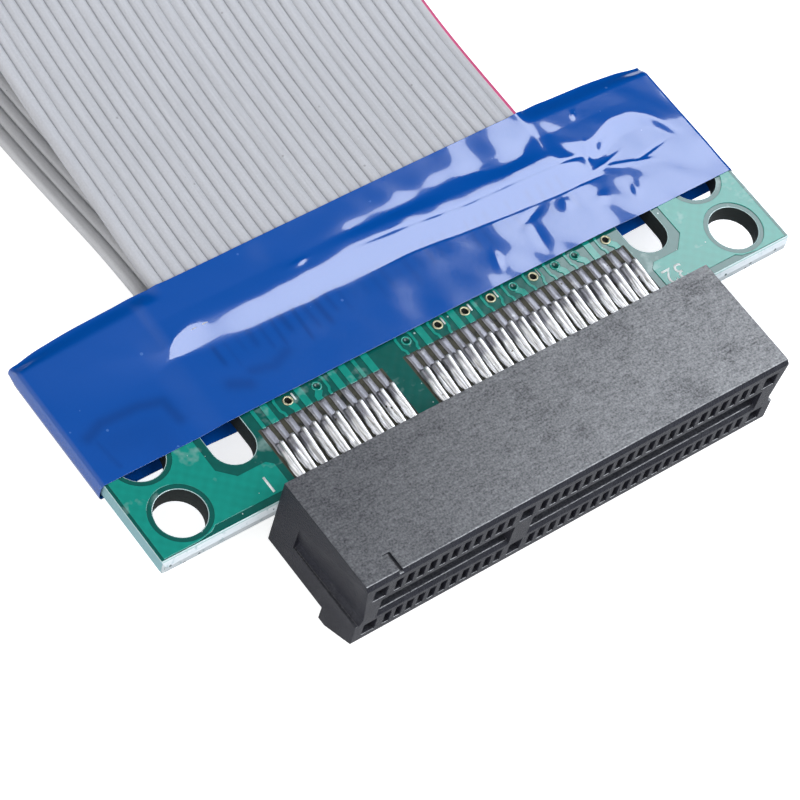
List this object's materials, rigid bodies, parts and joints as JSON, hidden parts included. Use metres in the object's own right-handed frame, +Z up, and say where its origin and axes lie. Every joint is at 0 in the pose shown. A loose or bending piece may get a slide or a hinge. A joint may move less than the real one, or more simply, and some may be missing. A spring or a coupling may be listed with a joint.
{
  "type": "pcie extension cable",
  "caption": "Flat extension cable for an expansion card: moulded edge socket on a taped green board, grey ribbon cables, and a taped plug board with gold fingers.",
  "frame": {"origin": "middle of the card slot's mouth in the socket's mating face", "axes": "+X along the socket, away from its key end; +Y from the mating face along the cable to the plug's tip; +Z up from the table that the cable lies on"},
  "size_m": [0.0586, 0.2496, 0.0116],
  "materials": {
    "housing_plastic": "fine-grained moulded plastic",
    "contact_tin": "tin plate",
    "solder": "bright solder",
    "board_green": "green solder mask on glass laminate",
    "ribbon_grey": "soft satin insulation",
    "tape_blue": "thin glossy film",
    "finger_gold": "gold plate"
  },
  "bodies": {
    "root": {"socket_housing": "housing_plastic", "upper_contacts": "contact_tin", "lower_contacts": "contact_tin", "socket_board": "board_green", "upper_pads": "contact_tin", "lower_pads": "contact_tin", "upper_solder": "solder", "lower_solder": "solder", "upper_wire_ends": "solder", "lower_wire_ends": "solder", "socket_tape": "tape_blue", "upper_ribbon": "ribbon_grey", "lower_ribbon": "ribbon_grey", "plug_board": "board_green", "upper_fingers": "finger_gold", "lower_fingers": "finger_gold", "upper_plug_wire_ends": "solder", "lower_plug_wire_ends": "solder", "plug_tape": "tape_blue"}
  },
  "joints": []
}
